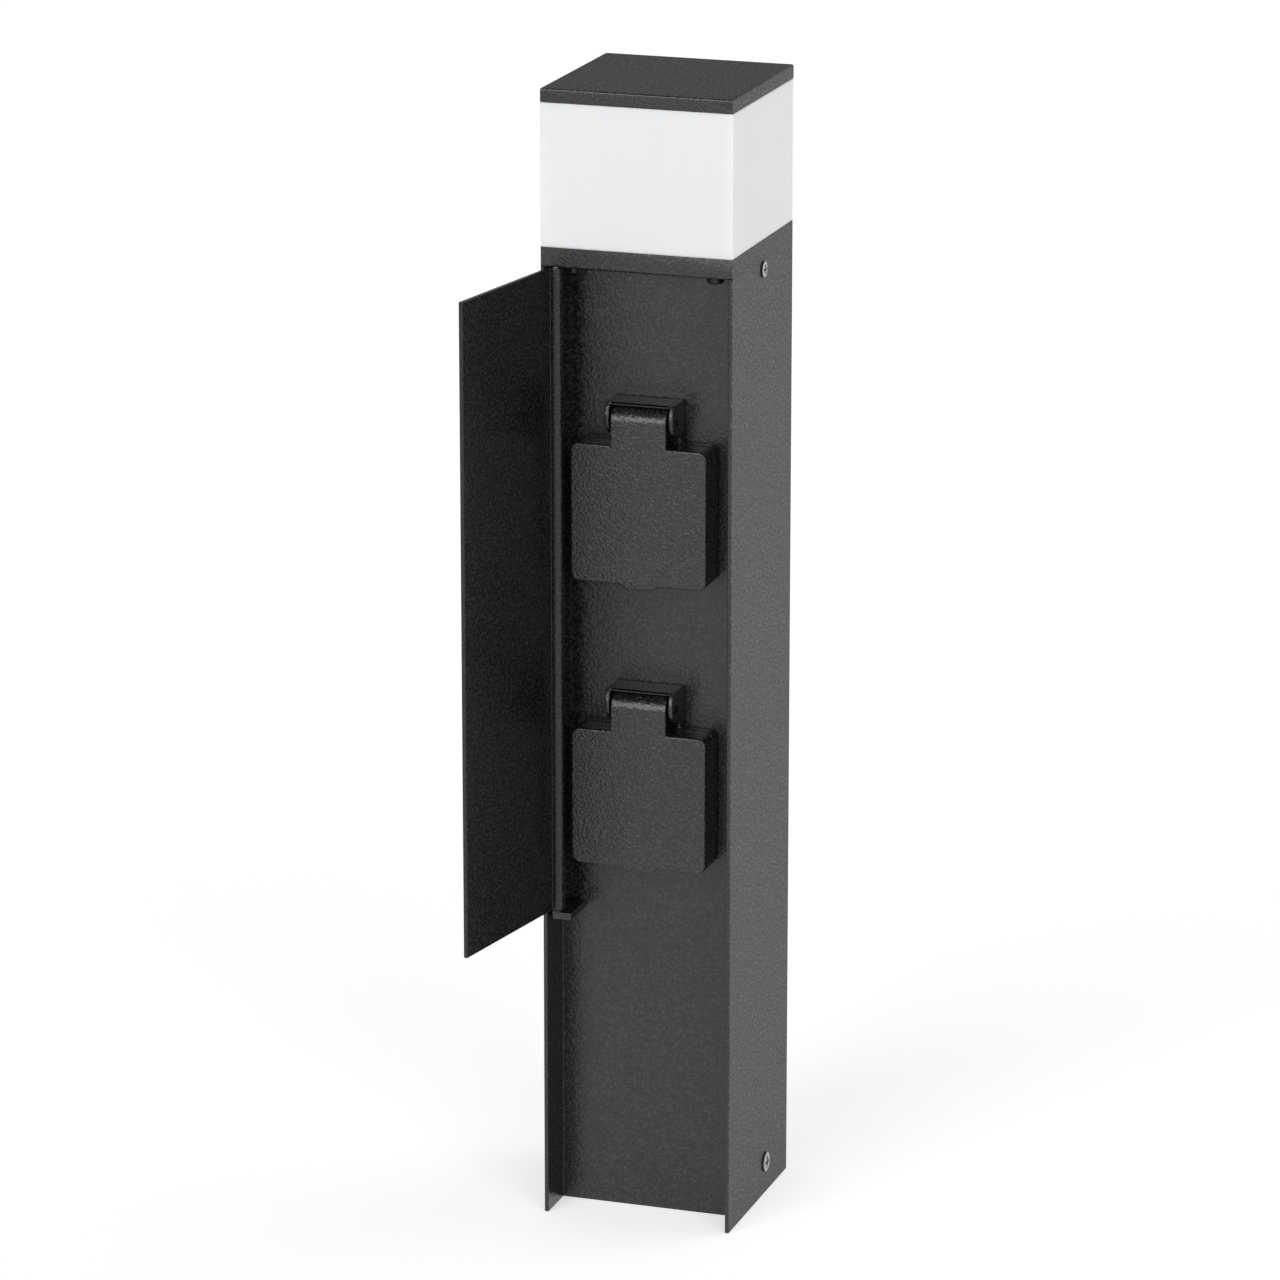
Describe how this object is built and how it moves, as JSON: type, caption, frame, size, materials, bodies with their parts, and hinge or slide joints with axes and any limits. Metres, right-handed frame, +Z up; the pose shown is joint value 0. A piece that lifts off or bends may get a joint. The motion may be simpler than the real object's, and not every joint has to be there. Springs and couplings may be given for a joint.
{
  "type": "garden socket post",
  "caption": "Square anthracite garden post with an opal lamp head and lidded earthed sockets in a front recess behind a swinging door.",
  "frame": {"origin": "centre of the post's square footprint, on the ground", "axes": "+Z up, -Y to the front with the door and sockets, +X to the right seen from the front"},
  "size_m": [0.0796, 0.1295, 0.413],
  "materials": {
    "powder_coat": "anthracite fine-texture powder coat",
    "socket_plastic": "dark moulded plastic, fine spark-eroded grain",
    "opal_acrylic": "satin opal acrylic",
    "zinc_steel": "zinc plated",
    "bare_aluminium": "mill finish",
    "brass": "bright",
    "seal_rubber": "matt black",
    "grey_plastic": "moulded",
    "white_plastic": "moulded",
    "led_phosphor": "phosphor",
    "brown_wire": "insulation",
    "blue_wire": "insulation",
    "green_wire": "insulation"
  },
  "bodies": {
    "post": {"post_profile": "powder_coat", "base_foot": "zinc_steel", "cable_grommet": "seal_rubber", "base_screws": "zinc_steel", "terminal_block": "white_plastic", "terminal_screws": "zinc_steel", "hinge_bracket": "powder_coat", "thrust_washer": "white_plastic", "head_ring": "powder_coat", "head_screws": "zinc_steel", "rod_cap": "seal_rubber", "tie_rods": "zinc_steel", "lower_seal": "seal_rubber", "diffuser": "opal_acrylic", "upper_seal": "seal_rubber", "top_cap": "powder_coat", "led_tray": "bare_aluminium", "tray_screws": "zinc_steel", "led_board": "white_plastic", "led_chips": "led_phosphor", "led_driver": "white_plastic", "lamp_lead": "grey_plastic", "live_wire": "brown_wire", "neutral_wire": "blue_wire", "earth_wire": "green_wire", "upper_socket_body": "socket_plastic", "upper_gasket": "seal_rubber", "upper_flange_screws": "zinc_steel", "upper_rear_cover": "grey_plastic", "upper_line_contacts": "brass", "upper_earth_clip": "brass", "upper_shutter_spring": "zinc_steel", "upper_lid_pin": "zinc_steel", "upper_lid_spring": "zinc_steel", "lower_socket_body": "socket_plastic", "lower_gasket": "seal_rubber", "lower_flange_screws": "zinc_steel", "lower_rear_cover": "grey_plastic", "lower_line_contacts": "brass", "lower_earth_clip": "brass", "lower_shutter_spring": "zinc_steel", "lower_lid_pin": "zinc_steel", "lower_lid_spring": "zinc_steel"},
    "door": {"door_panel": "powder_coat", "door_top_pin": "zinc_steel", "door_bottom_pin": "zinc_steel"},
    "upper_lid": {"upper_lid": "socket_plastic", "upper_lid_seal": "seal_rubber"},
    "upper_shutter": {"upper_shutter": "white_plastic"},
    "lower_lid": {"lower_lid": "socket_plastic", "lower_lid_seal": "seal_rubber"},
    "lower_shutter": {"lower_shutter": "white_plastic"}
  },
  "joints": [
    {"name": "door_hinge", "type": "hinge", "parent": "post", "child": "door", "pos_m": [-0.0302, -0.0325, 0.232], "axis": [0, 0, -1], "range_deg": [-100, 0]},
    {"name": "upper_lid_hinge", "type": "hinge", "parent": "post", "child": "upper_lid", "pos_m": [0, -0.028, 0.296], "axis": [-1, 0, 0], "range_deg": [0, 90], "stiffness_Nm_per_rad": 0.01, "springref_deg": -57.3, "deforming": ["upper_lid_spring"]},
    {"name": "lower_lid_hinge", "type": "hinge", "parent": "post", "child": "lower_lid", "pos_m": [0, -0.028, 0.192], "axis": [-1, 0, 0], "range_deg": [0, 90], "stiffness_Nm_per_rad": 0.01, "springref_deg": -57.3, "deforming": ["lower_lid_spring"]},
    {"name": "upper_shutter_turn", "type": "hinge", "parent": "post", "child": "upper_shutter", "pos_m": [0, -0.0078, 0.2625], "axis": [0, 1, 0], "range_deg": [0, 40], "stiffness_Nm_per_rad": 0.002, "springref_deg": -28.65, "deforming": ["upper_shutter_spring"]},
    {"name": "lower_shutter_turn", "type": "hinge", "parent": "post", "child": "lower_shutter", "pos_m": [0, -0.0078, 0.1585], "axis": [0, 1, 0], "range_deg": [0, 40], "stiffness_Nm_per_rad": 0.002, "springref_deg": -28.65, "deforming": ["lower_shutter_spring"]}
  ]
}
